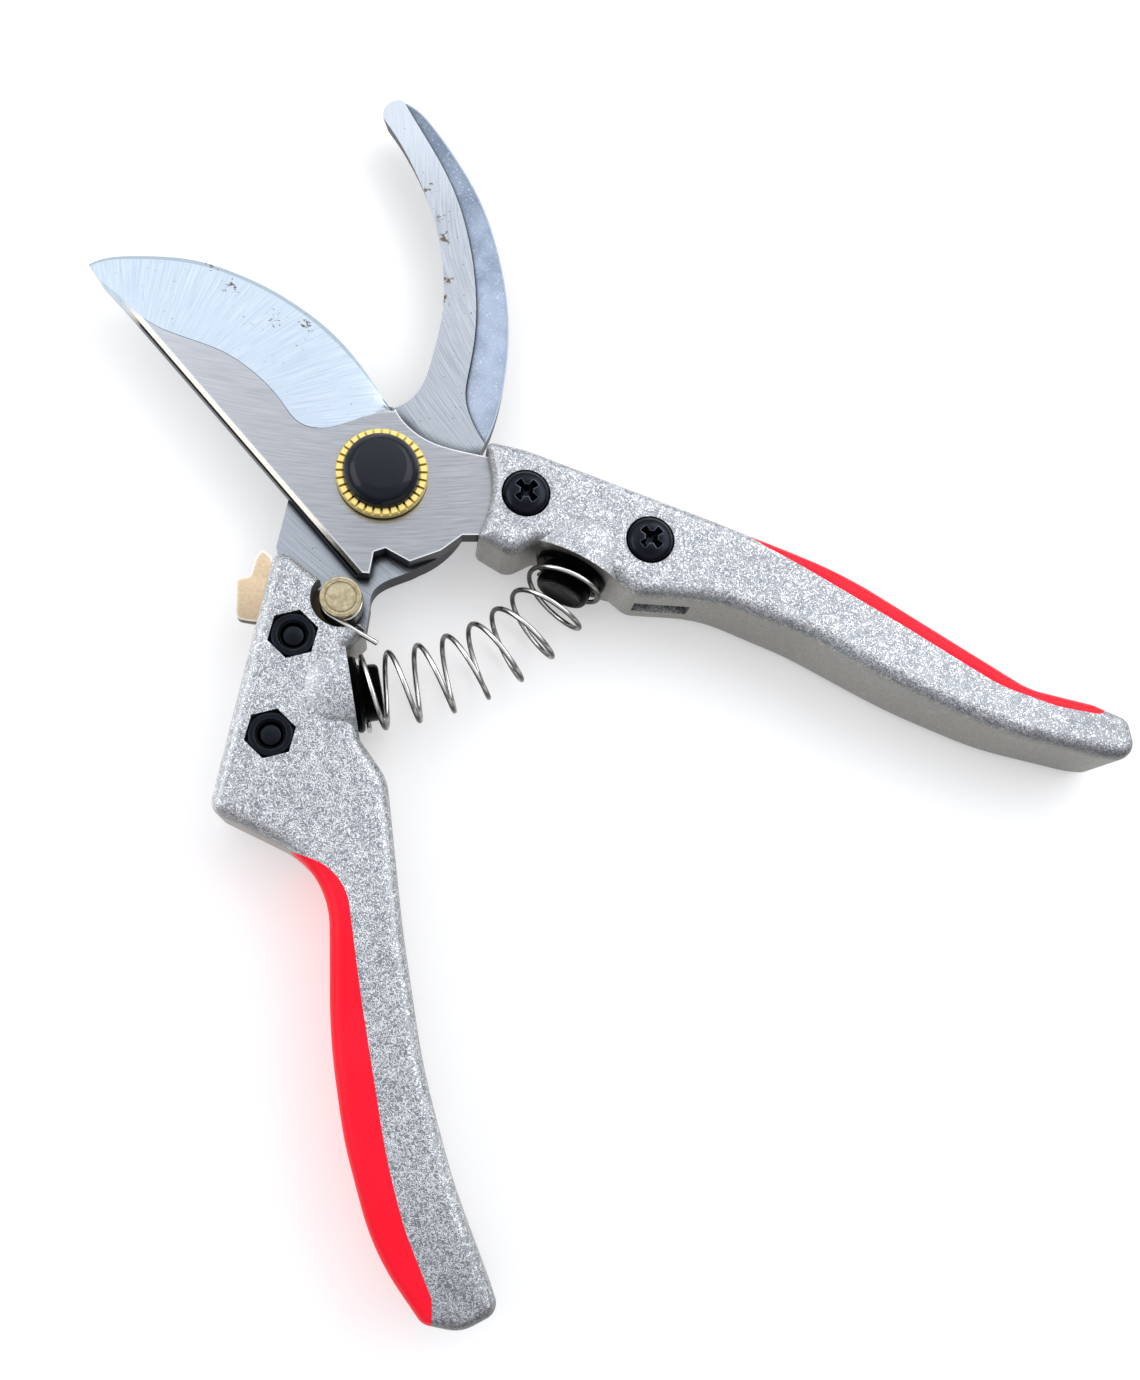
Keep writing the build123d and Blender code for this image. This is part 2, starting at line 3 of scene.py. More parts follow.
import bpy
from mathutils import Matrix, Vector
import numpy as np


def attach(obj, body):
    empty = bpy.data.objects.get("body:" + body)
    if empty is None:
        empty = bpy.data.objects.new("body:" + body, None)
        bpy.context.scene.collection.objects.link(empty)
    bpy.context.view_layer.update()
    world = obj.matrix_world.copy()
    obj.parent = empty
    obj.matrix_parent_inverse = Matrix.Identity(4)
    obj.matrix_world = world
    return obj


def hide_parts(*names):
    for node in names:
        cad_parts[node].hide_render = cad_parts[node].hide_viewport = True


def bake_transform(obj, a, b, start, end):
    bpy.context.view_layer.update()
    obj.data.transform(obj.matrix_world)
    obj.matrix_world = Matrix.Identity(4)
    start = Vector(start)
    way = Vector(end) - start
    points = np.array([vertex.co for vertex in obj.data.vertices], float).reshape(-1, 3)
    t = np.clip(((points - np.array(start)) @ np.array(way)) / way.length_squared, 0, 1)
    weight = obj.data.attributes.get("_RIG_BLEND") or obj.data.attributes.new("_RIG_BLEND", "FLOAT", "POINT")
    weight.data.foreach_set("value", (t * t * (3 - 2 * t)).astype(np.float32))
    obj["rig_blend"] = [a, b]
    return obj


# Bypass pruning shears, lying open on a table. Metres, with the pivot's axis at the origin,
# +Y towards the jaws and +Z out of the flat of the shears.
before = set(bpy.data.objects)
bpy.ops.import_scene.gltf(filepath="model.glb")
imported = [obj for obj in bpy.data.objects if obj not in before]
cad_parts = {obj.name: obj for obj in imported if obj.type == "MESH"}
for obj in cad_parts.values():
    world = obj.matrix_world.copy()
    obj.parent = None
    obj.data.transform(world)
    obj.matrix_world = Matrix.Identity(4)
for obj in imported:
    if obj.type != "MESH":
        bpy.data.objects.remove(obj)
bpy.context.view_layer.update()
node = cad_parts
MM = 0.001

# ---- Camera, table and light
# The camera looks down from above the handles, tipped a little towards the jaws. The table is
# an opal light table. The room is brightest beyond the jaws and darkest on the near side.

camera = bpy.data.objects.new("camera", bpy.data.cameras.new("camera"))
bpy.context.scene.collection.objects.link(camera)
bpy.context.scene.camera = camera
camera.location = (3.0 * MM, -86.1 * MM, 192.1 * MM)
camera.rotation_euler = [math.radians(turn) for turn in (8.41, -5.65, -0.83)]
camera.data.lens = 30.0
camera.data.sensor_width = 36.0
camera.data.shift_x = 0.0399
camera.data.shift_y = 0.1014
camera.data.clip_start = 0.01


def colour(hex_code):
    """An sRGB hex colour as the linear RGBA that the shaders take."""
    channels = [int(hex_code[place:place + 2], 16) / 255 for place in (0, 2, 4)]
    return [c / 12.92 if c <= 0.04045 else ((c + 0.055) / 1.055) ** 2.4 for c in channels] + [1.0]


def add(tree, kind, inputs=None, give=0, **settings):
    """Adds a node with its settings and its inputs, each a value or a socket, and gives one output."""
    made = tree.nodes.new(kind)
    for name, value in settings.items():
        setattr(made, name, value)
    for name, value in (inputs or {}).items():
        if isinstance(value, bpy.types.NodeSocket):
            tree.links.new(value, made.inputs[name])
        else:
            made.inputs[name].default_value = value
    return made.outputs[give]


def new_material(name, roughness, metallic=0.0):
    """A material with its tree and its Principled shader."""
    material = bpy.data.materials.new(name)
    material.use_nodes = True
    shader = material.node_tree.nodes["Principled BSDF"]
    shader.inputs["Roughness"].default_value = roughness
    shader.inputs["Metallic"].default_value = metallic
    return material, material.node_tree, shader


def tint(tree, base, over, by, span=None, shares=(0.0, 1.0)):
    """Lays one colour over another, each a hex code or a socket. The share laid on is a value's own
    size or, with a span, goes from the first share to the second as the value crosses the span."""
    first, second = [end if isinstance(end, bpy.types.NodeSocket) else colour(end) for end in (base, over)]
    if span:
        by = add(tree, "ShaderNodeMapRange", {0: by, 1: span[0], 2: span[1], 3: shares[0], 4: shares[1]})
    return add(tree, "ShaderNodeMix", {0: by, 6: first, 7: second}, 2, data_type="RGBA")


# Opal acrylic, lit faintly from below and very slightly uneven in tone.
opal, tree, shader = new_material("opal_acrylic", 0.6)
shader.inputs["Emission Color"].default_value = colour("FFFDFA")
shader.inputs["Emission Strength"].default_value = 0.36
place = add(tree, "ShaderNodeTexCoord", give="Object")
cloudy = add(tree, "ShaderNodeTexNoise", {"Vector": place, "Scale": 30.0})
tree.links.new(tint(tree, "D8D8D8", "DEDEDE", cloudy), shader.inputs["Base Color"])
bpy.ops.mesh.primitive_plane_add(size=4.0, location=(0.04, -0.04, -0.2 * MM))
table = bpy.context.object
table.name = "table_top"
table.data.materials.append(opal)

bpy.context.scene.view_settings.view_transform = "Standard"
world = bpy.data.worlds.new("studio_room")
bpy.context.scene.world = world
world.use_nodes = True
tree = world.node_tree
heading = add(tree, "ShaderNodeTexCoord", give="Generated")
far_side = add(tree, "ShaderNodeVectorMath", {0: heading, 1: (0.15, 0.95, 0.0)}, "Value",
               operation="DOT_PRODUCT")
side_light = add(tree, "ShaderNodeMapRange", {0: far_side, 1: -0.4, 2: 0.5, 3: 0.55, 4: 1.18})
height = add(tree, "ShaderNodeSeparateXYZ", {0: heading}, "Z")
rising = add(tree, "ShaderNodeMapRange", {0: height, 1: 0.12, 2: 0.55, 3: 0.25, 4: 1.30},
             interpolation_type="SMOOTHSTEP")
zenith = add(tree, "ShaderNodeMapRange", {0: height, 1: 0.78, 2: 1.0, 3: 1.0, 4: 0.66},
             interpolation_type="SMOOTHSTEP")
strength = add(tree, "ShaderNodeMath", {0: rising, 1: zenith}, operation="MULTIPLY")
strength = add(tree, "ShaderNodeMath", {0: strength, 1: side_light}, operation="MULTIPLY")
tree.links.new(strength, tree.nodes["Background"].inputs["Strength"])
tree.nodes["Background"].inputs["Color"].default_value = colour("F6F9FF")

for name, spot, size, power in (("right_softbox", (0.46, 0.24, 0.42), (0.80, 0.45), 1.6),
                                ("left_softbox", (-0.42, 0.02, 0.26), (0.45, 0.22), 0.55)):
    lamp = bpy.data.objects.new(name, bpy.data.lights.new(name, "AREA"))
    bpy.context.scene.collection.objects.link(lamp)
    lamp.location = spot
    lamp.rotation_euler = (Vector((0.03, -0.04, 0.0)) - lamp.location).to_track_quat("-Z", "Y").to_euler()
    lamp.data.shape = "RECTANGLE"
    lamp.data.size, lamp.data.size_y = size
    lamp.data.energy = power

# ---- Pivot bolt and its friction washer
# A turned steel bolt holds the blades together. Its round head lies under the hook blade and
# its square neck keeps it from turning there. The thin washer runs on top of the cutting blade.

# Turned carbon steel, grey with fine rings round its axis.
turned_steel, tree, shader = new_material("turned_carbon_steel", 0.34, 1.0)
place = add(tree, "ShaderNodeTexCoord", give="Object")
rings = add(tree, "ShaderNodeTexWave", {"Vector": place, "Scale": 1 / (1.1 * MM), "Distortion": 0.4},
            "Fac", wave_type="RINGS", rings_direction="Z")
tree.links.new(tint(tree, "76797E", "909399", rings), shader.inputs["Base Color"])
tree.links.new(add(tree, "ShaderNodeBump", {"Strength": 0.4, "Distance": 0.02 * MM, "Height": rings}),
               shader.inputs["Normal"])


def finish(names, material):
    """Gives CAD nodes a material of their own finish."""
    for name in names:
        node[name].data.materials.clear()
        node[name].data.materials.append(material)


finish(["pivot_bolt", "friction_washer"], turned_steel)

# ---- Hook blade
# The lower jaw, blanked and forged from carbon steel. Its inner land is ground flat and the
# strip along the back is blasted and lies a little lower. The wall inside the jaw leans back
# under the land towards the tip.

hook_top_level = 7.5
hook_thickness = 4.0
undercut = 1.1


def choose(piece):
    """Makes a piece the only one selected."""
    bpy.ops.object.select_all(action="DESELECT")
    piece.select_set(True)
    bpy.context.view_layer.objects.active = piece


def copied(name, source, flatten=True):
    """A CAD node's mesh as a piece of its own, merged and, if asked, with its flats in one face each."""
    piece = bpy.data.objects.new(name, node[source].data.copy())
    bpy.context.scene.collection.objects.link(piece)
    piece.data.transform(node[source].matrix_world)
    piece.data.materials.clear()
    choose(piece)
    bpy.ops.mesh.customdata_custom_splitnormals_clear()
    bpy.ops.object.mode_set(mode="EDIT")
    bpy.ops.mesh.select_all(action="SELECT")
    bpy.ops.mesh.remove_doubles(threshold=0.002 * MM)
    if flatten:
        bpy.ops.mesh.dissolve_limited(angle_limit=math.radians(0.6))
    bpy.ops.mesh.normals_make_consistent(inside=False)
    bpy.ops.object.mode_set(mode="OBJECT")
    return piece


def smooth_walls(piece):
    """Smooth shading on the walls of the active piece and flat shading on its level faces."""
    bpy.ops.object.shade_smooth_by_angle(angle=math.radians(25))
    for face in piece.data.polygons:
        face.use_smooth = abs(face.normal.z) < 0.5


def place_on(piece, body, material, slot, *sources):
    """Gives a new piece its material, its body and the CAD nodes that it stands for."""
    piece.data.materials.append(material)
    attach(piece, body)
    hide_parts(*sources)


hook = copied("ground_hook_blade", "hook_blade")
for vert in hook.data.vertices:
    x, y, z = vert.co / MM
    along_jaw = max(0.0, y - 37)
    inside_jaw = x < 13.3 - along_jaw ** 2 * 0.0095
    if z < hook_top_level - 0.1 and y > 27 and inside_jaw:
        fading = min(1.0, (y - 27) / 14) * min(1.0, (76 - y) / 7)
        depth = (hook_top_level - z) / hook_thickness * fading
        slant = math.radians(along_jaw)
        vert.co += Vector((math.cos(slant), math.sin(slant), 0.0)) * undercut * depth * MM
smooth_walls(hook)


def wall_share(tree, steep=0.5):
    """1 on faces that stand nearly upright, 0 on flats and low bevels."""
    facing = add(tree, "ShaderNodeTexCoord", give="Normal")
    up = add(tree, "ShaderNodeSeparateXYZ", {0: facing}, "Z")
    up = add(tree, "ShaderNodeMath", {0: up}, operation="ABSOLUTE")
    return add(tree, "ShaderNodeMath", {0: up, 1: steep}, operation="LESS_THAN")


def edge_bend(tree, radius):
    """1 on open faces, and less within this many millimetres of an edge."""
    rounded = add(tree, "ShaderNodeBevel", {"Radius": radius * MM}, samples=6)
    facing = add(tree, "ShaderNodeNewGeometry", give="Normal")
    return add(tree, "ShaderNodeVectorMath", {0: rounded, 1: facing}, "Value", operation="DOT_PRODUCT")


def stains(tree, place, middles, reach, size):
    """Stains near these places: 1 inside a stain, broken up by noise of this size."""
    grain = add(tree, "ShaderNodeTexNoise",
                {"Vector": place, "Scale": 1 / (size * MM), "Detail": 3.0, "Roughness": 0.7})
    nearest = None
    for middle in middles:
        gap = add(tree, "ShaderNodeVectorMath", {0: place, 1: Vector(middle) * MM}, "Value",
                  operation="DISTANCE")
        if nearest is not None:
            gap = add(tree, "ShaderNodeMath", {0: nearest, 1: gap}, operation="MINIMUM")
        nearest = gap
    inside = add(tree, "ShaderNodeMapRange", {0: nearest, 1: 0.0, 2: reach * MM, 3: 0.17, 4: -0.05})
    broken = add(tree, "ShaderNodeMath", {0: grain, 1: inside}, operation="ADD")
    return add(tree, "ShaderNodeMapRange", {0: broken, 1: 0.62, 2: 0.68})


# Ground carbon steel land: pale, with grinding lines that run along the jaw and lean over
# near the pivot. The relief is grit blasted: darker, with bright specks that are painted glints.
# The walls are painted dark as shade.
# The lines are drawn 0.3 mm apart, coarser than real ones, so that they show.
hook_steel, tree, shader = new_material("ground_and_blasted_carbon_steel", 0.3, 1.0)
place = add(tree, "ShaderNodeTexCoord", give="Object")
axes = add(tree, "ShaderNodeSeparateXYZ", {0: place}).node
x, y, z = axes.outputs
below = add(tree, "ShaderNodeMath", {0: 55 * MM, 1: y}, operation="SUBTRACT")
below = add(tree, "ShaderNodeMath", {0: below, 1: 0.0}, operation="MAXIMUM")
lean = add(tree, "ShaderNodeMath", {0: below, 1: below}, operation="MULTIPLY")
across = add(tree, "ShaderNodeMath", {0: lean, 1: -1 / (121 * MM), 2: x}, operation="MULTIPLY_ADD")
across = add(tree, "ShaderNodeMath", {0: across, 1: 1 / (0.3 * MM)}, operation="MULTIPLY")
along = add(tree, "ShaderNodeMath", {0: y, 1: 1 / (9 * MM)}, operation="MULTIPLY")
line_place = add(tree, "ShaderNodeCombineXYZ", {0: across, 1: along})
lines = add(tree, "ShaderNodeTexNoise",
            {"Vector": line_place, "Scale": 1.0, "Detail": 3.0, "Roughness": 0.65})
land = tint(tree, "9AA0A7", "BCC1C7", lines, (0.3, 0.7))
# painted reflection: the land paler towards the tip
land = tint(tree, land, "D2D8DF", y, (50 * MM, 66 * MM), (0.0, 0.6))
grit = add(tree, "ShaderNodeTexNoise", {"Vector": place, "Scale": 1 / (0.30 * MM), "Detail": 2.0})
clouds = add(tree, "ShaderNodeTexNoise", {"Vector": place, "Scale": 1 / (4 * MM), "Detail": 3.0})
blasted = tint(tree, "8894A6", "A3AFC2", clouds, (0.35, 0.65))
# painted shade towards the tip, painted light at the foot, then the specks as painted glints
blasted = tint(tree, blasted, "5E6873", y, (40 * MM, 68 * MM), (0.0, 0.6))
blasted = tint(tree, blasted, "B4BECC", y, (38 * MM, 30 * MM), (0.0, 0.25))
blasted = tint(tree, blasted, "D2DAE6", grit, (0.62, 0.72), (0.0, 0.8))
in_relief = add(tree, "ShaderNodeMath", {0: z, 1: (hook_top_level - 0.03) * MM}, operation="LESS_THAN")
# edges: a painted highlight on the rim, then a painted shade line along the blasted strip
bend = edge_bend(tree, 0.9)
strip = tint(tree, blasted, "4A525E", bend, (0.985, 0.995), (0.75, 0.0))
strip = tint(tree, strip, "BECADB", bend, (0.93, 0.96), (0.9, 0.0))
surface = tint(tree, land, strip, in_relief)
# painted shade in the corners and, beyond the handle, the shade of what lies near
corner = add(tree, "ShaderNodeAmbientOcclusion", {"Distance": 1.3 * MM}, "AO", samples=8)
surface = tint(tree, surface, "20242B", corner, (0.5, 0.93), (0.95, 0.0))
shade = add(tree, "ShaderNodeAmbientOcclusion", {"Distance": 4 * MM}, "AO", samples=8)
shade = add(tree, "ShaderNodeMapRange", {0: shade, 1: 0.72, 2: 0.86, 3: 0.9, 4: 0.0})
beyond = add(tree, "ShaderNodeMapRange", {0: y, 1: -4 * MM, 2: 6 * MM, 3: 0.15, 4: 1.0})
shade = add(tree, "ShaderNodeMath", {0: shade, 1: beyond}, operation="MULTIPLY")
surface = tint(tree, surface, "262A31", shade)
# painted shade: the walls darker
surface = tint(tree, surface, "1C1D20", wall_share(tree))
# dried sap along the land's inner edge
sap_places = [(8.0, 55.1, 7.5), (9.9, 49.5, 7.5), (10.6, 46.0, 7.5), (11.2, 38.0, 7.5), (11.0, 34.5, 7.5)]
surface = tint(tree, surface, "6A5D4C", stains(tree, place, sap_places, 1.9, 0.7))
tree.links.new(surface, shader.inputs["Base Color"])
tree.links.new(add(tree, "ShaderNodeMapRange", {0: in_relief, 3: 0.27, 4: 0.42}), shader.inputs["Roughness"])
texture = add(tree, "ShaderNodeMix", {0: in_relief, 2: lines, 3: grit})
tree.links.new(add(tree, "ShaderNodeBump", {"Strength": 0.5, "Distance": 0.03 * MM, "Height": texture}),
               shader.inputs["Normal"])
place_on(hook, "left_half", hook_steel, "hook_steel", "hook_blade")

# ---- Handles
# Pressure die-cast aluminium, fettled and sprayed with silver hammertone enamel. Each is
# slotted for its blade's tang and has a swelling over its spring seat.

# Hammertone enamel: aluminium flake that dries in fine bright curls, 0.55 mm wide, on a grey
# ground. Painted shade darkens the corners and the walls.
hammertone, tree, shader = new_material("silver_hammertone_enamel", 0.38, 0.8)
place = add(tree, "ShaderNodeTexCoord", give="Object")
curls = add(tree, "ShaderNodeTexNoise",
            {"Vector": place, "Scale": 1 / (0.55 * MM), "Detail": 0.0, "Distortion": 1.6})
ridge = add(tree, "ShaderNodeMath", {0: curls, 1: 0.5}, operation="SUBTRACT")
ridge = add(tree, "ShaderNodeMath", {0: ridge}, operation="ABSOLUTE")
ridge = add(tree, "ShaderNodeMapRange", {0: ridge, 1: 0.0, 2: 0.11, 3: 1.0, 4: 0.0},
            interpolation_type="SMOOTHSTEP")
patches = add(tree, "ShaderNodeTexNoise", {"Vector": place, "Scale": 1 / (2.4 * MM), "Detail": 2.0})
patches = add(tree, "ShaderNodeMath", {0: patches, 1: 0.25}, operation="MULTIPLY")
tone = add(tree, "ShaderNodeMath", {0: ridge, 1: 0.78, 2: patches}, operation="MULTIPLY_ADD")
coat = tint(tree, "858A91", "FFFFFF", tone, (0.05, 0.95))
# painted shade in the corners
corner = add(tree, "ShaderNodeAmbientOcclusion", {"Distance": 1.8 * MM}, "AO", samples=6)
coat = tint(tree, coat, "4C4F53", corner, (0.45, 0.97), (0.75, 0.0))
# painted shade on rims that lean to the near side and a painted highlight on those that lean to the left
facing = add(tree, "ShaderNodeTexCoord", give="Normal")
for towards, span, most, rim_colour in (((0.4, -0.92, 0.0), (0.1, 0.65), 0.7, "6E6E6B"),
                                        ((-0.96, 0.28, 0.0), (0.1, 0.5), 0.2, "FDFEFF")):
    lean = add(tree, "ShaderNodeVectorMath", {0: facing, 1: towards}, "Value", operation="DOT_PRODUCT")
    coat = tint(tree, coat, rim_colour, lean, span, (0.0, most))
# painted shade on the walls
half_walls = add(tree, "ShaderNodeMath", {0: wall_share(tree, 0.35), 1: 0.5}, operation="MULTIPLY")
coat = tint(tree, coat, "969186", half_walls)
# painted shade, darker towards the ends
from_pivot = add(tree, "ShaderNodeVectorMath", {0: place}, "Value", operation="LENGTH")
coat = tint(tree, coat, "43464B", from_pivot, (112 * MM, 158 * MM), (0.0, 0.6))
tree.links.new(coat, shader.inputs["Base Color"])
tree.links.new(add(tree, "ShaderNodeBump", {"Strength": 0.5, "Distance": 0.045 * MM, "Height": ridge}),
               shader.inputs["Normal"])
finish(["left_handle", "right_handle"], hammertone)

# ---- Grip pads
# Red vinyl pads moulded into the backs of the handles. They are solid, smooth and a little
# glossy, and their rims are softly rounded where they meet the metal.


def soften(piece, width, segments=3, sharper_than=35.0):
    """Rounds the sharp edges of the active piece."""
    rounding = piece.modifiers.new("rounding", "BEVEL")
    rounding.width = width * MM
    rounding.segments = segments
    rounding.limit_method = "ANGLE"
    rounding.angle_limit = math.radians(sharper_than)
    bpy.ops.object.modifier_apply(modifier=rounding.name)
    bpy.ops.object.shade_smooth_by_angle(angle=math.radians(35))


# Plasticised PVC, satin, with a faint orange-peel skin.
red_vinyl, tree, shader = new_material("red_plasticised_pvc", 0.42)
shader.inputs["Specular IOR Level"].default_value = 0.22
place = add(tree, "ShaderNodeTexCoord", give="Object")
skin = add(tree, "ShaderNodeTexNoise", {"Vector": place, "Scale": 1 / (0.6 * MM), "Detail": 2.0})
patches = add(tree, "ShaderNodeTexNoise", {"Vector": place, "Scale": 1 / (14 * MM), "Detail": 2.0})
tree.links.new(tint(tree, "FF0020", "FF1634", patches), shader.inputs["Base Color"])
tree.links.new(add(tree, "ShaderNodeBump", {"Strength": 0.12, "Distance": 0.03 * MM, "Height": skin}),
               shader.inputs["Normal"])
for side in ("left", "right"):
    pad = copied(side + "_vinyl_pad", side + "_grip")
    soften(pad, 0.55, 4)
    place_on(pad, side + "_half", red_vinyl, "red_grip", side + "_grip")

# ---- Screws
# Pan-head cross-recess M4 screws, two to each handle, through the handle and the tang. The
# right handle's go in from the top and the left handle's from below.

middle_level = 7.5
screw_middles = {"left_screw_front": (-13.9, -28.4), "left_screw_rear": (-17.2, -44.6),
                 "right_screw_front": (23.7, -3.7), "right_screw_rear": (44.3, -11.2)}
# radius, then level from the handle's middle
screw_profile = [(0, 7.38), (2.2, 7.32), (3.1, 7.0), (3.7, 6.45), (3.98, 5.85), (4.0, 5.35), (3.9, 5.0),
                 (2.0, 5.0), (2.0, -4.75), (1.72, -5.2), (1.45, -5.35), (0, -5.4)]
# half of one arm of the driver's cross, which flares outwards
recess_arm = [(0.95, 0.47), (1.55, 0.6), (1.88, 0.66), (2.05, 0.46)]
recess_turn = 41.0
recess_top = 7.35
recess_depth = 1.7


def turned(name, profile, origin, along=(0, 0, 1), steps=64):
    """A turned piece: an outline of (radius, distance along the axis) in mm, spun round the axis."""
    origin, along = Vector(origin), Vector(along)
    outward = Vector((1, 0, 0)) if abs(along.z) > 0.5 else Vector((0, 0, 1))
    points = [(origin + outward * radius + along * level) * MM for radius, level in profile]
    bpy.ops.mesh.primitive_plane_add(size=MM, location=points[0])
    piece = bpy.context.object
    piece.name = name
    choose(piece)
    bpy.ops.object.transform_apply(location=True, rotation=True, scale=True)
    bpy.ops.object.mode_set(mode="EDIT")
    bpy.ops.mesh.select_all(action="SELECT")
    bpy.ops.mesh.merge(type="CENTER")
    for last, point in zip(points, points[1:]):
        bpy.ops.mesh.extrude_region_move(TRANSFORM_OT_translate={"value": point - last})
    bpy.ops.mesh.select_all(action="SELECT")
    bpy.ops.mesh.spin(steps=steps, angle=2 * math.pi, center=origin * MM, axis=along)
    bpy.ops.mesh.select_all(action="SELECT")
    bpy.ops.mesh.remove_doubles(threshold=0.002 * MM)
    bpy.ops.mesh.normals_make_consistent(inside=False)
    bpy.ops.object.mode_set(mode="OBJECT")
    bpy.ops.object.shade_smooth_by_angle(angle=math.radians(35))
    return piece


def cut(piece, tool, kind="DIFFERENCE"):
    """Cuts a piece with a tool, or keeps what they share, and clears the tool away."""
    cutting = piece.modifiers.new("cut", "BOOLEAN")
    cutting.operation = kind
    cutting.object = tool
    cutting.solver = "EXACT"
    choose(piece)
    bpy.ops.object.modifier_apply(modifier=cutting.name)
    bpy.data.objects.remove(tool)


def set_copies(model, over_turn, rename, slot):
    """Copies a fastener to the four screw holes, turned over on the left handle, and clears it away."""
    over_axis = (math.cos(math.radians(over_turn)), math.sin(math.radians(over_turn)), 0)
    for screw_name, middle in screw_middles.items():
        side = screw_name.split("_")[0]
        piece = bpy.data.objects.new(screw_name.replace("screw", model.name), model.data.copy())
        bpy.context.scene.collection.objects.link(piece)
        if side == "left":
            piece.data.transform(Matrix.Rotation(math.pi, 4, over_axis))
        piece.data.transform(Matrix.Translation(Vector((*middle, middle_level)) * MM))
        place_on(piece, side + "_half", black_oxide, slot, screw_name.replace("screw", rename))
    bpy.data.objects.remove(model)


# Black oxide on steel, oiled: near black with a faint blue and smudged, with a painted highlight on its
# edges and painted shade in its hollows.
black_oxide, tree, shader = new_material("black_oxide_steel", 0.3, 0.9)
place = add(tree, "ShaderNodeTexCoord", give="Object")
smudge = add(tree, "ShaderNodeTexNoise", {"Vector": place, "Scale": 1 / (1.5 * MM), "Detail": 3.0})
oxide = tint(tree, "14171C", "242930", smudge)
# painted highlight on the edges
oxide = tint(tree, oxide, "6A7480", edge_bend(tree, 0.3), (0.9, 0.98), (0.8, 0.0))
# painted shade in the cross recess and other hollows
hollow = add(tree, "ShaderNodeAmbientOcclusion", {"Distance": 0.9 * MM}, "AO", samples=6)
oxide = tint(tree, oxide, "020203", hollow, (0.45, 0.8), (1.0, 0.0))
tree.links.new(oxide, shader.inputs["Base Color"])
tree.links.new(add(tree, "ShaderNodeMapRange", {0: smudge, 3: 0.16, 4: 0.3}), shader.inputs["Roughness"])

# the driver's cross: its outline, pressed down and tapered
half_arm = [Vector(corner) for corner in recess_arm]
arm = [Vector((corner.x, -corner.y)) for corner in half_arm] + half_arm[::-1]
cross = [Matrix.Rotation(math.radians(recess_turn + 90 * quarter), 2) @ corner
         for quarter in range(4) for corner in arm]
bpy.ops.mesh.primitive_circle_add(vertices=len(cross), radius=2 * MM, fill_type="NGON")
recess = bpy.context.object
choose(recess)
for vert, corner in zip(recess.data.vertices, cross):
    vert.co = Vector((corner.x * 1.08, corner.y * 1.08, recess_top + 0.3)) * MM
bpy.ops.object.mode_set(mode="EDIT")
bpy.ops.mesh.select_all(action="SELECT")
for drop, narrowing in ((0.3 + 0.45, 1 / 1.08), (recess_depth - 0.45, 0.42)):
    bpy.ops.mesh.extrude_region_move(TRANSFORM_OT_translate={"value": (0, 0, -drop * MM)})
    bpy.ops.transform.resize(value=(narrowing, narrowing, 1), center_override=(0, 0, 0))
bpy.ops.mesh.select_all(action="SELECT")
bpy.ops.mesh.normals_make_consistent(inside=False)
bpy.ops.object.mode_set(mode="OBJECT")
screw = turned("pan_screw", screw_profile, (0, 0, 0))
cut(screw, recess)
soften(screw, 0.06, 2, 40)
set_copies(screw, recess_turn, "screw", "black_screw")

# ---- Nuts
# M4 hex nuts in hex pockets, on the face away from the screw heads. Each is chamfered to a
# round washer face and its bore is countersunk.

nut_outer = 6.05
nut_inner = 2.85
nut_across_flats = 7.0
nut_turn = 15.0
nut_cone = [(0, nut_outer), (3.3, nut_outer), (4.25, nut_outer - 0.55), (4.25, nut_inner + 0.4),
            (3.6, nut_inner), (0, nut_inner)]
nut_bore = [(0, nut_outer + 1), (3.37, nut_outer + 1), (2.05, nut_outer - 0.55), (2.05, nut_inner - 1),
            (0, nut_inner - 1)]
# modelled on the underside, as the screw is on the top, so that the copies lie opposite its head
bpy.ops.mesh.primitive_cylinder_add(vertices=6, radius=nut_across_flats / math.sqrt(3) * MM,
                                    depth=(nut_outer - nut_inner) * MM,
                                    location=(0, 0, -(nut_outer + nut_inner) / 2 * MM),
                                    rotation=(0, 0, math.radians(nut_turn)))
nut = bpy.context.object
nut.name = "hex_nut"
choose(nut)
bpy.ops.object.transform_apply(location=True, rotation=True, scale=True)
cut(nut, turned("cone", [(radius, -level) for radius, level in nut_cone], (0, 0, 0)), "INTERSECT")
cut(nut, turned("bore", [(radius, -level) for radius, level in nut_bore], (0, 0, 0)))
bpy.ops.object.mode_set(mode="EDIT")
bpy.ops.mesh.select_all(action="SELECT")
bpy.ops.mesh.remove_doubles(threshold=0.004 * MM)
bpy.ops.object.mode_set(mode="OBJECT")
soften(nut, 0.09, 2, 25)
set_copies(nut, nut_turn, "nut", "black_nut")

# ---- Spring seats
# Black nylon buttons pressed into the handles. The flange takes the spring's end and the
# nose keeps it in the middle.

seat_places = {"left": ((-4.65, -36.7), 8.7), "right": ((32.0, -14.6), 243.3)}
# the spigot, the flange, then the nose with its dished end
seat_profile = [(0, -3.6), (2.3, -3.6), (2.5, -3.4), (2.5, 0),
                (5.95, 0), (6.27, 0.25), (6.27, 0.8), (5.95, 1.2), (5.3, 1.3), (4.9, 1.36),
                (4.7, 1.6), (4.62, 4.1), (4.35, 4.55), (3.9, 4.7), (3.4, 4.66), (3.1, 4.5), (0, 4.5)]

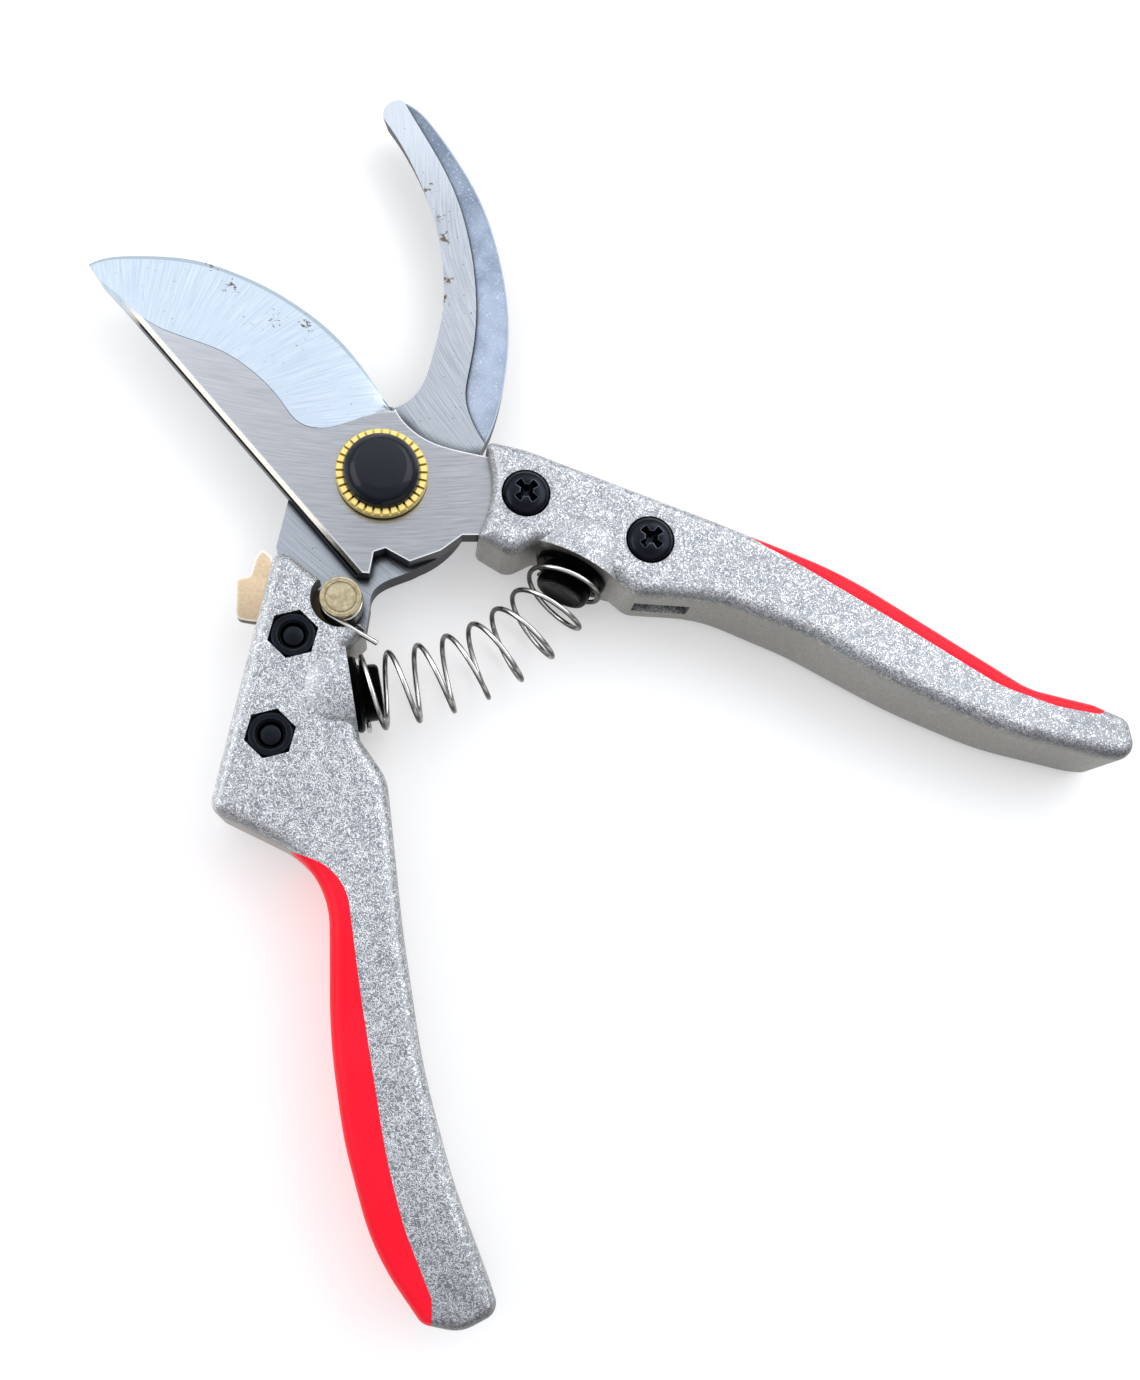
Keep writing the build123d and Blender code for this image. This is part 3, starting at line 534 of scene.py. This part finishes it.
# Moulded nylon, glossy black, very slightly mottled.
nylon, tree, shader = new_material("black_moulded_nylon", 0.2)
shader.inputs["Specular IOR Level"].default_value = 0.05
shader.inputs["Specular Tint"].default_value = colour("2C2F34")
place = add(tree, "ShaderNodeTexCoord", give="Object")
smudge = add(tree, "ShaderNodeTexNoise", {"Vector": place, "Scale": 1 / (2 * MM), "Detail": 2.0})
tree.links.new(tint(tree, "020202", "070708", smudge), shader.inputs["Base Color"])
tree.links.new(add(tree, "ShaderNodeMapRange", {0: smudge, 3: 0.15, 4: 0.3}), shader.inputs["Roughness"])
button = turned("seat_button", seat_profile, (0, 0, 0), (1, 0, 0))
for side, (spot, heading) in seat_places.items():
    seat = bpy.data.objects.new(side + "_seat_button", button.data.copy())
    bpy.context.scene.collection.objects.link(seat)
    seat.data.transform(Matrix.Rotation(math.radians(heading), 4, "Z"))
    seat.data.transform(Matrix.Translation(Vector((*spot, middle_level)) * MM))
    place_on(seat, side + "_half", nylon, "black_plastic", side + "_spring_seat")
bpy.data.objects.remove(button)

# ---- Lock rivet
# A turned and nickelled rivet that the latch swings on. Its head is a flat button with a
# raised rim, and its tail is closed over under the hook blade.

rivet_middle = (-6.4, -22.3, 0.0)
rivet_profile = [(0, 14.06), (2.35, 14.06), (2.42, 13.98), (2.52, 13.98), (2.6, 14.1), (2.95, 14.12),
                 (3.05, 14.2), (3.3, 14.18), (3.4, 14.05), (3.4, 13.45), (3.25, 13.3), (2.2, 12.95),
                 (1.5, 12.9), (1.5, 3.5), (2.6, 3.5), (2.6, 2.9), (2.3, 2.4), (1.6, 2.3), (0, 2.3)]

# Nickel over brass, champagne coloured and handled dull, with painted shade in its hollows.
nickel, tree, shader = new_material("champagne_nickel_plate", 0.34, 1.0)
place = add(tree, "ShaderNodeTexCoord", give="Object")
smudge = add(tree, "ShaderNodeTexNoise",
             {"Vector": place, "Scale": 1 / (0.9 * MM), "Detail": 4.0, "Roughness": 0.65})
plate = tint(tree, "A89B7B", "D6C8A6", smudge, (0.35, 0.65))
# painted shade in the hollows
hollow = add(tree, "ShaderNodeAmbientOcclusion", {"Distance": 0.4 * MM}, "AO", samples=4)
plate = tint(tree, plate, "3E3626", hollow, (0.4, 0.9), (0.7, 0.0))
tree.links.new(plate, shader.inputs["Base Color"])
tree.links.new(add(tree, "ShaderNodeBump", {"Strength": 0.35, "Distance": 0.04 * MM, "Height": smudge}),
               shader.inputs["Normal"])
rivet = turned("nickelled_rivet", rivet_profile, rivet_middle)
place_on(rivet, "left_half", nickel, "nickel", "lock_rivet")

# ---- Latch
# A blanked and nickelled steel plate that turns on the rivet. Its thumb tab is bent down at
# the end, and every edge is tumbled round.

latch_middle = Vector((*rivet_middle[:2], 8.4))

# Nickel plate over tumbled steel, warmer than the rivet, with a painted highlight on its edges,
# painted shade on its steep faces and walls, and a painted shadow round the rivet.
latch_plate, tree, shader = new_material("tumbled_nickel_plate", 0.36, 1.0)
place = add(tree, "ShaderNodeTexCoord", give="Object")
smudge = add(tree, "ShaderNodeTexNoise", {"Vector": place, "Scale": 1 / (0.5 * MM), "Detail": 3.0})
plate = tint(tree, "C4AB8B", "E7D1B2", smudge)
up = add(tree, "ShaderNodeSeparateXYZ", {0: add(tree, "ShaderNodeTexCoord", give="Normal")}, "Z")
up = add(tree, "ShaderNodeMath", {0: up}, operation="ABSOLUTE")
# painted highlight on the rounded edges
rim = add(tree, "ShaderNodeMath", {0: edge_bend(tree, 0.8), 1: up}, operation="MINIMUM")
plate = tint(tree, plate, "FFFAF0", rim, (0.93, 0.985), (0.95, 0.0))
# painted shade on steep faces and walls
plate = tint(tree, plate, "33291E", up, (0.45, 0.7), (0.9, 0.0))
plate = tint(tree, plate, "54473A", wall_share(tree))
# painted shadow round the rivet, where the handle's pocket shades it
to_rivet = add(tree, "ShaderNodeVectorMath", {0: place, 1: latch_middle * MM}, "Value",
               operation="DISTANCE")
plate = tint(tree, plate, "17150F", to_rivet, (6.5 * MM, 8.0 * MM), (0.93, 0.0))
tree.links.new(plate, shader.inputs["Base Color"])
tree.links.new(add(tree, "ShaderNodeBump", {"Strength": 0.3, "Distance": 0.03 * MM, "Height": smudge}),
               shader.inputs["Normal"])
latch = copied("tumbled_latch", "lock_latch")
soften(latch, 0.35, 3)
place_on(latch, "latch", latch_plate, "nickel", "lock_latch")

# ---- Lock collar and torsion spring
# A plain steel sleeve round the rivet carries a torsion spring of five turns. One leg lies
# along the handle and the other bears on the latch.

sleeve_profile = [(1.58, 9.2), (2.3, 9.2), (2.4, 9.3), (2.4, 11.5), (2.3, 11.6), (1.58, 11.6), (1.58, 9.2)]
collar = turned("rivet_sleeve", sleeve_profile, rivet_middle)

# Bright drawn spring wire, with darker draw marks and painted shade on its flanks.
wire_steel, tree, shader = new_material("bright_drawn_stainless_wire", 0.2, 1.0)
place = add(tree, "ShaderNodeTexCoord", give="Object")
smudge = add(tree, "ShaderNodeTexNoise", {"Vector": place, "Scale": 1 / (1.0 * MM), "Detail": 3.0})
wire = tint(tree, "D0CCC4", "FFFFFC", smudge)
up = add(tree, "ShaderNodeSeparateXYZ", {0: add(tree, "ShaderNodeTexCoord", give="Normal")}, "Z")
up = add(tree, "ShaderNodeMath", {0: up}, operation="ABSOLUTE")
# painted shade on the flanks
tree.links.new(tint(tree, wire, "100E0C", up, (0.35, 0.9), (0.95, 0.0)), shader.inputs["Base Color"])
tree.links.new(add(tree, "ShaderNodeMapRange", {0: smudge, 3: 0.14, 4: 0.28}), shader.inputs["Roughness"])
place_on(collar, "left_half", turned_steel, "nickel", "lock_collar")


def bend_wire(name, points, radius):
    """A round wire along these points, made a mesh with closed ends."""
    line = bpy.data.curves.new(name, "CURVE")
    line.dimensions = "3D"
    spline = line.splines.new("POLY")
    spline.points.add(len(points) - 1)
    for bend, point in zip(spline.points, points):
        bend.co = (*point, 1.0)
    line.bevel_depth = radius
    line.bevel_resolution = 3
    line.use_fill_caps = True
    wire = bpy.data.objects.new(name, line)
    bpy.context.scene.collection.objects.link(wire)
    choose(wire)
    bpy.ops.object.convert(target="MESH")
    bpy.ops.object.shade_smooth_by_angle(angle=math.radians(50))
    return bpy.context.object


torsion_wire = 0.42
torsion_radius = 3.12
torsion_turns = 4.3
torsion_foot = 9.58
torsion_top = 12.5
leg_angle = math.radians(-31.0)
leg_length = 8.6
leaving_angle = leg_angle - math.pi / 2
steps = 160
loops = []
for step in range(steps + 1):
    share = step / steps
    angle = leaving_angle - 2 * math.pi * torsion_turns * (1 - share)
    loops.append(Vector((rivet_middle[0] + torsion_radius * math.cos(angle),
                         rivet_middle[1] + torsion_radius * math.sin(angle),
                         torsion_foot + share * (torsion_top - torsion_foot))) * MM)
leg = Vector((math.cos(leg_angle), math.sin(leg_angle), 0.0)) * MM
loops += [loops[-1] + leg * leg_length * share for share in (0.25, 0.5, 0.75, 1.0)]
torsion_spring = bend_wire("torsion_spring", loops, torsion_wire * MM)
place_on(torsion_spring, "left_half", wire_steel, "spring_wire", "lock_spring")

# ---- Cutting blade
# The upper jaw, ground from high-carbon steel plate. A wide convex bevel leads to the edge,
# with a narrow honed strip along it, and the spine has a chamfer.

blade_top_level = 10.55
honed_level = 8.02
chamfer_foot = 9.65
tip_middle = Vector((-47.3, 35.0, 8.85))
blade = copied("ground_cutting_blade", "cutting_blade", flatten=False)
# the bevel runs out through the spine, so nothing stands above it at the tip
bpy.ops.object.mode_set(mode="EDIT")
bpy.ops.mesh.select_all(action="SELECT")
bpy.ops.mesh.bisect(plane_co=tip_middle * MM, plane_no=(-0.06, 0.25, 0.966), use_fill=True, clear_outer=True)
bpy.ops.object.mode_set(mode="OBJECT")
smooth_walls(blade)

# Surface-ground steel. The flat has lines almost straight across, the bevel has lines that fan
# out to the edge and the honed strip is plain. The flat is painted paler towards the tip and the bevel
# brighter and bluer as painted reflections, and the walls are painted dark as shade.
# The lines are drawn 0.26 and 0.3 mm apart, coarser than real ones, so that they show.
blade_steel, tree, shader = new_material("ground_high_carbon_steel", 0.28, 1.0)
place = add(tree, "ShaderNodeTexCoord", give="Object")
axes = add(tree, "ShaderNodeSeparateXYZ", {0: place}).node
x, y, z = axes.outputs
from_left = add(tree, "ShaderNodeMath", {0: x, 1: 30 * MM}, operation="ADD")
bow = add(tree, "ShaderNodeMath", {0: from_left, 1: from_left}, operation="MULTIPLY")
across = add(tree, "ShaderNodeMath", {0: from_left, 1: 0.2, 2: y}, operation="MULTIPLY_ADD")
across = add(tree, "ShaderNodeMath", {0: bow, 1: -0.00375 / MM, 2: across}, operation="MULTIPLY_ADD")
across = add(tree, "ShaderNodeMath", {0: across, 1: 1 / (0.26 * MM)}, operation="MULTIPLY")
along = add(tree, "ShaderNodeMath", {0: x, 1: 1 / (8 * MM)}, operation="MULTIPLY")
flat_place = add(tree, "ShaderNodeCombineXYZ", {0: across, 1: along})
fan = add(tree, "ShaderNodeMapping", {"Vector": place, "Location": (40 * MM, -5 * MM, 0)})
turn = add(tree, "ShaderNodeTexGradient", {0: fan}, "Fac", gradient_type="RADIAL")
reach = add(tree, "ShaderNodeVectorMath", {0: fan}, "Value", operation="LENGTH")
turn = add(tree, "ShaderNodeMath", {0: turn, 1: 2 * math.pi * 30 / 0.3}, operation="MULTIPLY")
reach = add(tree, "ShaderNodeMath", {0: reach, 1: 1 / (9 * MM)}, operation="MULTIPLY")
fan_place = add(tree, "ShaderNodeCombineXYZ", {0: turn, 1: reach})
flat_lines, fan_lines = [
    add(tree, "ShaderNodeTexNoise", {"Vector": spot, "Scale": 1.0, "Detail": 3.0, "Roughness": 0.65})
    for spot in (flat_place, fan_place)]
flat = tint(tree, "95969A", "B7B9BD", flat_lines, (0.3, 0.7))
# painted reflection: the flat paler towards the tip
flat = tint(tree, flat, "D4D7DC", x, (0.0, -36 * MM), (0.0, 0.4))
# painted reflection: the bevel brighter and bluer than the flat
bevel = tint(tree, "B2BFCC", "CBD6E0", fan_lines, (0.3, 0.7))
honed = add(tree, "ShaderNodeMath", {0: z, 1: honed_level * MM}, operation="LESS_THAN")
bevel = tint(tree, bevel, "A4B0B8", honed)
sap_places = [(-29.0, 38.5, 8.6), (-25.5, 34.5, 9.0), (-18.0, 28.6, 9.4), (-13.2, 28.2, 8.6)]
bevel = tint(tree, bevel, "6B5C4A", stains(tree, place, sap_places, 2.6, 0.7))
# a fine dark line where the bevel leaves the flat
lowered = add(tree, "ShaderNodeMath", {0: z, 1: (blade_top_level - 0.012) * MM}, operation="LESS_THAN")
boundary = add(tree, "ShaderNodeMath", {0: z, 1: (blade_top_level - 0.035) * MM}, operation="GREATER_THAN")
boundary = add(tree, "ShaderNodeMath", {0: boundary, 1: lowered}, operation="MULTIPLY")
bevel = tint(tree, bevel, "5E6774", boundary)
lines = add(tree, "ShaderNodeMix", {0: lowered, 2: flat_lines, 3: fan_lines})
surface = tint(tree, flat, bevel, lowered)
# the spine's chamfer faces away from the edge and leans much more than the bevel does. It gets a
# painted highlight, near white, and its foot is painted dark as shade, as the walls are.
facing = add(tree, "ShaderNodeTexCoord", give="Normal")
lean = add(tree, "ShaderNodeVectorMath", {0: facing, 1: (-0.765, -0.644, 0)}, "Value",
           operation="DOT_PRODUCT")
on_chamfer = add(tree, "ShaderNodeMath", {0: lean, 1: 0.3}, operation="GREATER_THAN")
off_tip = add(tree, "ShaderNodeMapRange", {0: x, 1: -43 * MM, 2: -40 * MM})
on_chamfer = add(tree, "ShaderNodeMath", {0: on_chamfer, 1: off_tip}, operation="MULTIPLY")
# painted highlight on the chamfer
surface = tint(tree, surface, "FFF5E8", on_chamfer)
# painted shade on the chamfer's foot and the walls
low = add(tree, "ShaderNodeMath", {0: z, 1: chamfer_foot * MM}, operation="LESS_THAN")
low = add(tree, "ShaderNodeMath", {0: low, 1: on_chamfer}, operation="MULTIPLY")
on_wall = add(tree, "ShaderNodeMath", {0: wall_share(tree, 0.4), 1: low}, operation="MAXIMUM")
on_wall = add(tree, "ShaderNodeMath", {0: on_wall, 1: off_tip}, operation="MULTIPLY")
surface = tint(tree, surface, "1E1E23", on_wall)
# painted highlight along the top edges
blade_rim_highlight = add(tree, "ShaderNodeMapRange", {0: edge_bend(tree, 0.6), 1: 0.9, 2: 0.97, 3: 1.0, 4: 0.0})
near_top = add(tree, "ShaderNodeMath", {0: z, 1: (blade_top_level - 0.05) * MM}, operation="GREATER_THAN")
blade_rim_highlight = add(tree, "ShaderNodeMath", {0: blade_rim_highlight, 1: near_top}, operation="MULTIPLY")
surface = tint(tree, surface, "FFFFFF", blade_rim_highlight)
tree.links.new(surface, shader.inputs["Base Color"])
# the bevel is polished nearly as even as the flat
facing = add(tree, "ShaderNodeNewGeometry", give="Normal")
up = add(tree, "ShaderNodeSeparateXYZ", {0: facing}, "Z")
eased = add(tree, "ShaderNodeMath", {0: up, 1: 0.8}, operation="GREATER_THAN")
eased = add(tree, "ShaderNodeMath", {0: eased, 1: 0.65}, operation="MULTIPLY")
facing = add(tree, "ShaderNodeMix", {0: eased, 4: facing, 5: (0.0, 0.0, 1.0)}, 1, data_type="VECTOR")
facing = add(tree, "ShaderNodeVectorMath", {0: facing}, operation="NORMALIZE")
scratches = add(tree, "ShaderNodeBump",
                {"Strength": 0.5, "Distance": 0.025 * MM, "Height": lines, "Normal": facing})
tree.links.new(scratches, shader.inputs["Normal"])
place_on(blade, "right_half", blade_steel, "blade_steel", "cutting_blade")

# ---- Adjusting ring
# A pressed ring with a notched rim, which takes up the play between the blades.

# Yellow zinc plate, uneven: straw on the teeth, with painted shade in the notches.
zinc, tree, shader = new_material("yellow_zinc_plate", 0.3, 1.0)
place = add(tree, "ShaderNodeTexCoord", give="Object")
smudge = add(tree, "ShaderNodeTexNoise", {"Vector": place, "Scale": 1 / (0.7 * MM), "Detail": 3.0})
plate = tint(tree, "FFD768", "FFF2AC", smudge)
# painted shade in the notches
notch = add(tree, "ShaderNodeAmbientOcclusion", {"Distance": 0.5 * MM}, "AO", samples=6)
plate = tint(tree, plate, "8A6418", notch, (0.3, 0.75), (0.9, 0.0))
tree.links.new(plate, shader.inputs["Base Color"])
finish(["adjusting_ring"], zinc)

# ---- Pivot cap
# A blackened screw cap with a flat top and a full round shoulder. It holds the ring down.

cap_profile = [(0, 15.15), (4.05, 15.15), (4.3, 15.1), (4.6, 14.94), (5.15, 14.6), (5.75, 14.05),
               (6.15, 13.4), (6.37, 12.8), (6.4, 12.5), (6.3, 12.36), (3.05, 12.35), (3.05, 14.15),
               (0, 14.15)]

# Black oxide under clear lacquer: a soft black with a sharp gloss, tinted blue as a painted reflection of
# the sky.
lacquered, tree, shader = new_material("lacquered_black_steel", 0.42)
shader.inputs["Specular IOR Level"].default_value = 0.15
shader.inputs["Coat Weight"].default_value = 0.35
shader.inputs["Coat Roughness"].default_value = 0.12
place = add(tree, "ShaderNodeTexCoord", give="Object")
smudge = add(tree, "ShaderNodeTexNoise", {"Vector": place, "Scale": 1 / (0.5 * MM), "Detail": 3.0})
# the blue in the black is a painted reflection of the sky
tree.links.new(tint(tree, "070C14", "0F1825", smudge), shader.inputs["Base Color"])
tree.links.new(add(tree, "ShaderNodeBump", {"Strength": 0.2, "Distance": 0.02 * MM, "Height": smudge}),
               shader.inputs["Normal"])
cap = turned("lacquered_cap", cap_profile, (0, 0, 0), steps=96)
place_on(cap, "adjuster", lacquered, "black_cap", "pivot_cap")

# ---- Return spring
# A compression spring of hard drawn wire, bent between the two seats. Its turns share the
# squeeze evenly as the handles close.

wire_radius = 0.43 * MM
coil_radius = 6.05 * MM
open_turns = 7.53
dead_turns = 0.42
dead_pitch = 0.9 * MM
first_angle = -0.3
left_face = Vector((-3.365, -36.503, 7.5)) * MM
right_face = Vector((31.416, -15.761, 7.5)) * MM
leaving = Vector((math.cos(math.radians(8.7)), math.sin(math.radians(8.7)), 0)) * 38.2 * MM
arriving = Vector((math.cos(math.radians(63.3)), math.sin(math.radians(63.3)), 0)) * 47.5 * MM
last_angle = first_angle + 2 * math.pi * open_turns
wire_start = first_angle - 2 * math.pi * dead_turns
wire_end = last_angle + 2 * math.pi * dead_turns
steps = 330
turn_radians = 2 * math.pi
line_points = []
for step in range(steps + 1):
    angle = wire_start + (wire_end - wire_start) * step / steps
    share = (angle - first_angle) / (last_angle - first_angle)
    # the end turns lie closed on the seats
    near = (wire_radius * 1.05 + dead_pitch * (angle - wire_start) / turn_radians) / leaving.length
    far = 1 - (wire_radius * 1.05 + dead_pitch * (wire_end - angle) / turn_radians) / arriving.length
    share = (share + near + math.hypot(share - near, 0.01)) / 2
    share = (share + far - math.hypot(share - far, 0.01)) / 2
    t, t2, t3 = share, share ** 2, share ** 3
    middle = ((2 * t3 - 3 * t2 + 1) * left_face + (t3 - 2 * t2 + t) * leaving
              + (3 * t2 - 2 * t3) * right_face + (t3 - t2) * arriving)
    slope = ((6 * t2 - 6 * t) * left_face + (3 * t2 - 4 * t + 1) * leaving
             + (6 * t - 6 * t2) * right_face + (3 * t2 - 2 * t) * arriving).normalized()
    sideways = Vector((-slope.y, slope.x, 0))
    upright = Vector((0, 0, 1))
    line_points.append(middle + coil_radius * (math.cos(angle) * sideways + math.sin(angle) * upright))
return_spring = bend_wire("return_spring", line_points, wire_radius)
return_spring.data.materials.append(wire_steel)
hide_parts("main_spring")
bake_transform(return_spring, "left_half", "right_half", start=left_face, end=right_face)
# even weights by the angle round the pivot, in place of the smooth step
first_bearing = math.atan2(left_face.y, left_face.x)
last_bearing = math.atan2(right_face.y, right_face.x)
for point, weight in zip(return_spring.data.vertices, return_spring.data.attributes["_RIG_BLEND"].data):
    bearing = math.atan2(point.co.y, point.co.x)
    if bearing > 0.5 * math.pi:
        bearing -= 2 * math.pi
    weight.value = min(1.0, max(0.0, (bearing - first_bearing) / (last_bearing - first_bearing)))
